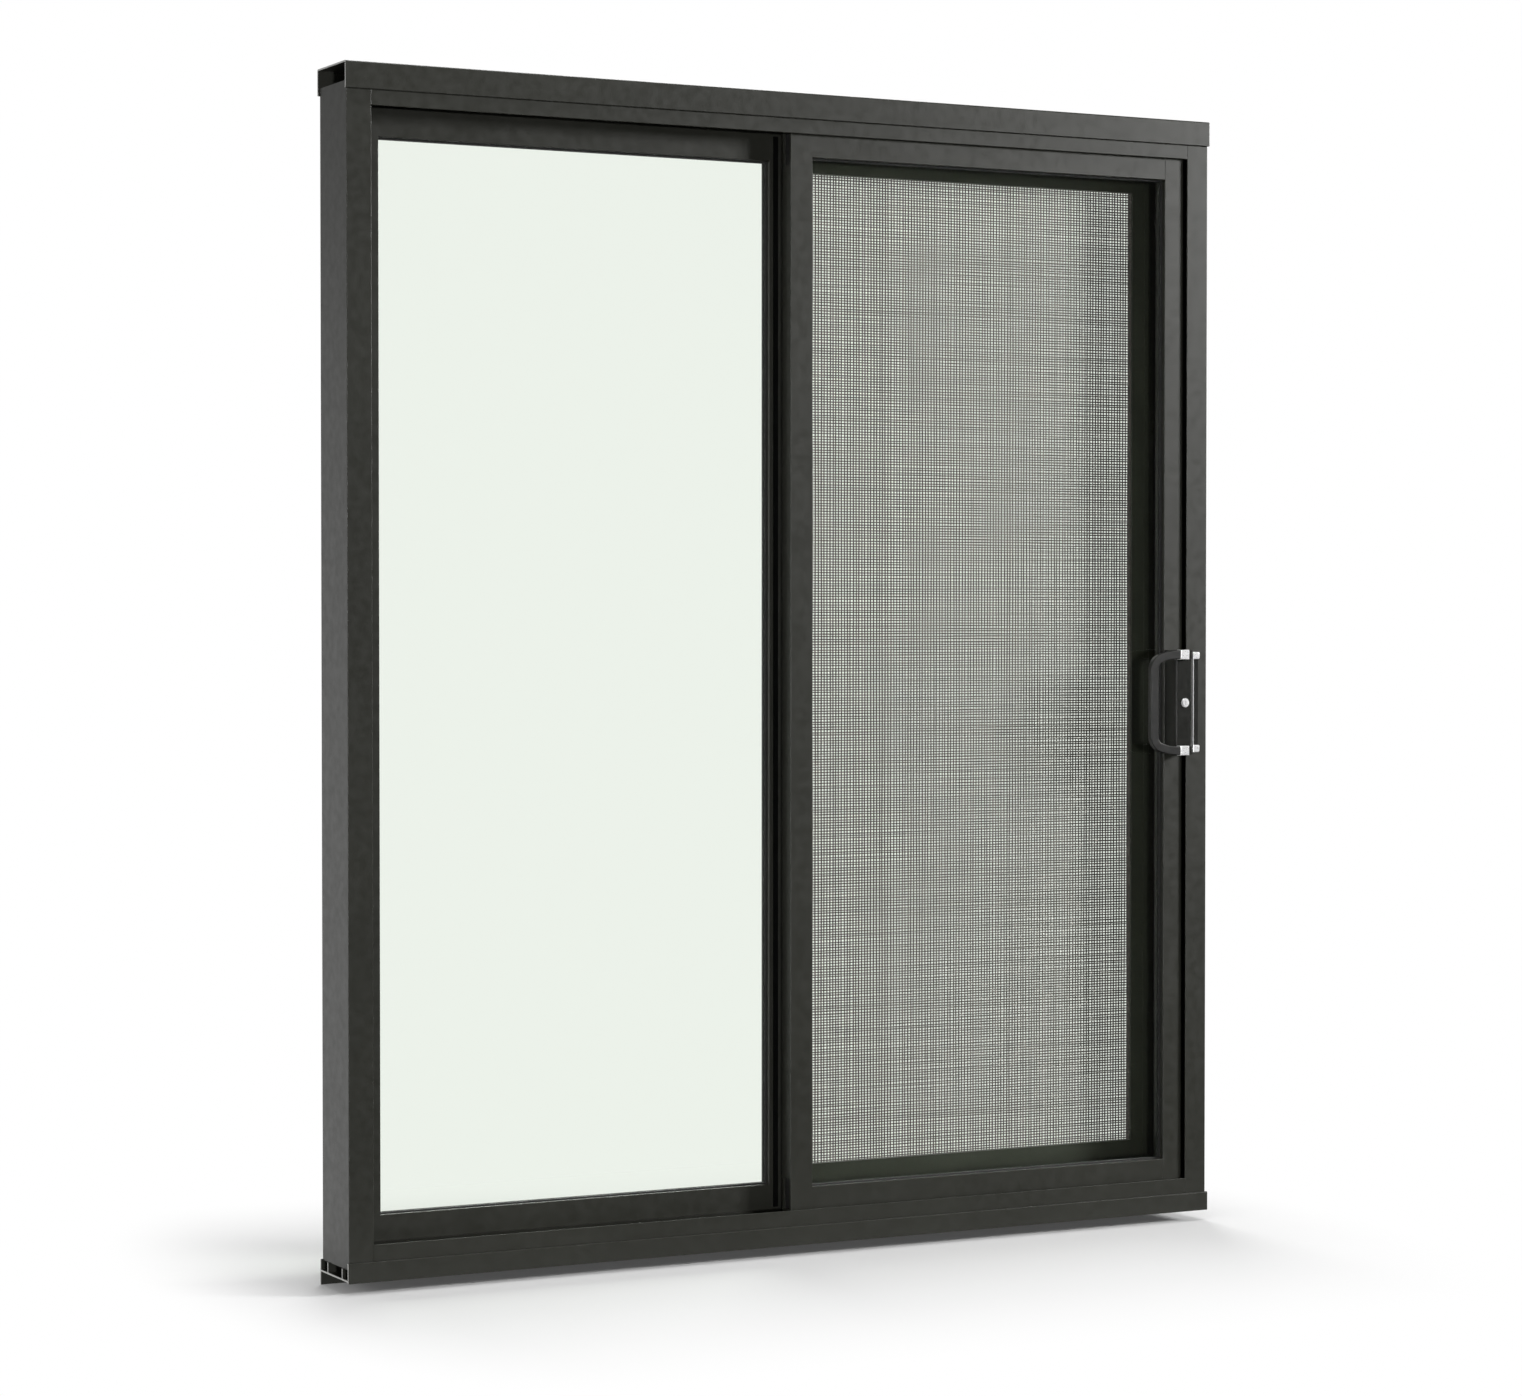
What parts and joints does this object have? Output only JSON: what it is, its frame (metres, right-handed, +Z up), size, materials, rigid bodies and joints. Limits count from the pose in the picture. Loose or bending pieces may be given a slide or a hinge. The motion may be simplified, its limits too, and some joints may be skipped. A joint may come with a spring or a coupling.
{
  "type": "sliding patio door",
  "caption": "Aluminium sliding patio door with a fixed glazed panel, a sliding glazed sash with a D-shaped pull and key lock, and a sliding insect screen.",
  "frame": {"origin": "middle of the sub sill's flat seat, on its underside", "axes": "+X to the right as seen from the room, +Y out through the door, +Z up"},
  "size_m": [1.816, 0.174, 2.169],
  "materials": {
    "powder_coat": "matt charcoal powder coat on aluminium",
    "glass": "clear float glass, faintly green",
    "gasket": "black rubber",
    "chrome": "bright chrome plate",
    "steel": "bright steel",
    "guide_plastic": "black nylon",
    "black_lock": "gloss black enamel on cast zinc",
    "satin_pull": "satin charcoal enamel on cast zinc",
    "pile": "black pile weatherstrip",
    "mesh": "vinyl-coated glass fibre screen cloth"
  },
  "bodies": {
    "frame": {"head_receptor": "powder_coat", "sub_sill": "powder_coat", "frame_head": "powder_coat", "frame_sill": "powder_coat", "left_jamb": "powder_coat", "right_jamb": "powder_coat", "fixed_top_rail": "powder_coat", "fixed_bottom_rail": "powder_coat", "fixed_left_stile": "powder_coat", "fixed_right_stile": "powder_coat", "fixed_glass": "glass", "fixed_gasket": "gasket", "interlock_strip": "powder_coat", "interlock_pile": "pile", "strike_plate": "powder_coat", "strike_edge": "chrome", "strike_top_cap": "chrome", "strike_bottom_cap": "chrome"},
    "sash": {"sash_top_rail": "powder_coat", "sash_bottom_rail": "powder_coat", "sash_left_stile": "powder_coat", "sash_right_stile": "powder_coat", "sash_glass": "glass", "sash_gasket": "gasket", "sash_top_guides": "guide_plastic", "sash_rollers": "guide_plastic", "sash_end_guides": "steel", "sash_end_blocks": "guide_plastic", "lock_housing": "black_lock", "lock_cylinder": "chrome", "pull_handle": "satin_pull", "pull_top_collar": "chrome", "pull_bottom_collar": "chrome"},
    "key_plug": {"lock_plug": "chrome"},
    "screen": {"screen_top_rail": "powder_coat", "screen_bottom_rail": "powder_coat", "screen_left_stile": "powder_coat", "screen_right_stile": "powder_coat", "screen_mesh": "mesh", "screen_spline": "gasket", "screen_rollers": "guide_plastic"}
  },
  "joints": [
    {"name": "sash_slide", "type": "slide", "parent": "frame", "child": "sash", "axis": [-1, 0, 0], "range_m": [0, 0.8]},
    {"name": "screen_slide", "type": "slide", "parent": "frame", "child": "screen", "axis": [-1, 0, 0], "range_m": [0, 0.8]},
    {"name": "key_turn", "type": "hinge", "parent": "sash", "child": "key_plug", "pos_m": [0.836, -0.0945, 1.003], "axis": [0, -1, 0], "range_deg": [0, 90]}
  ]
}
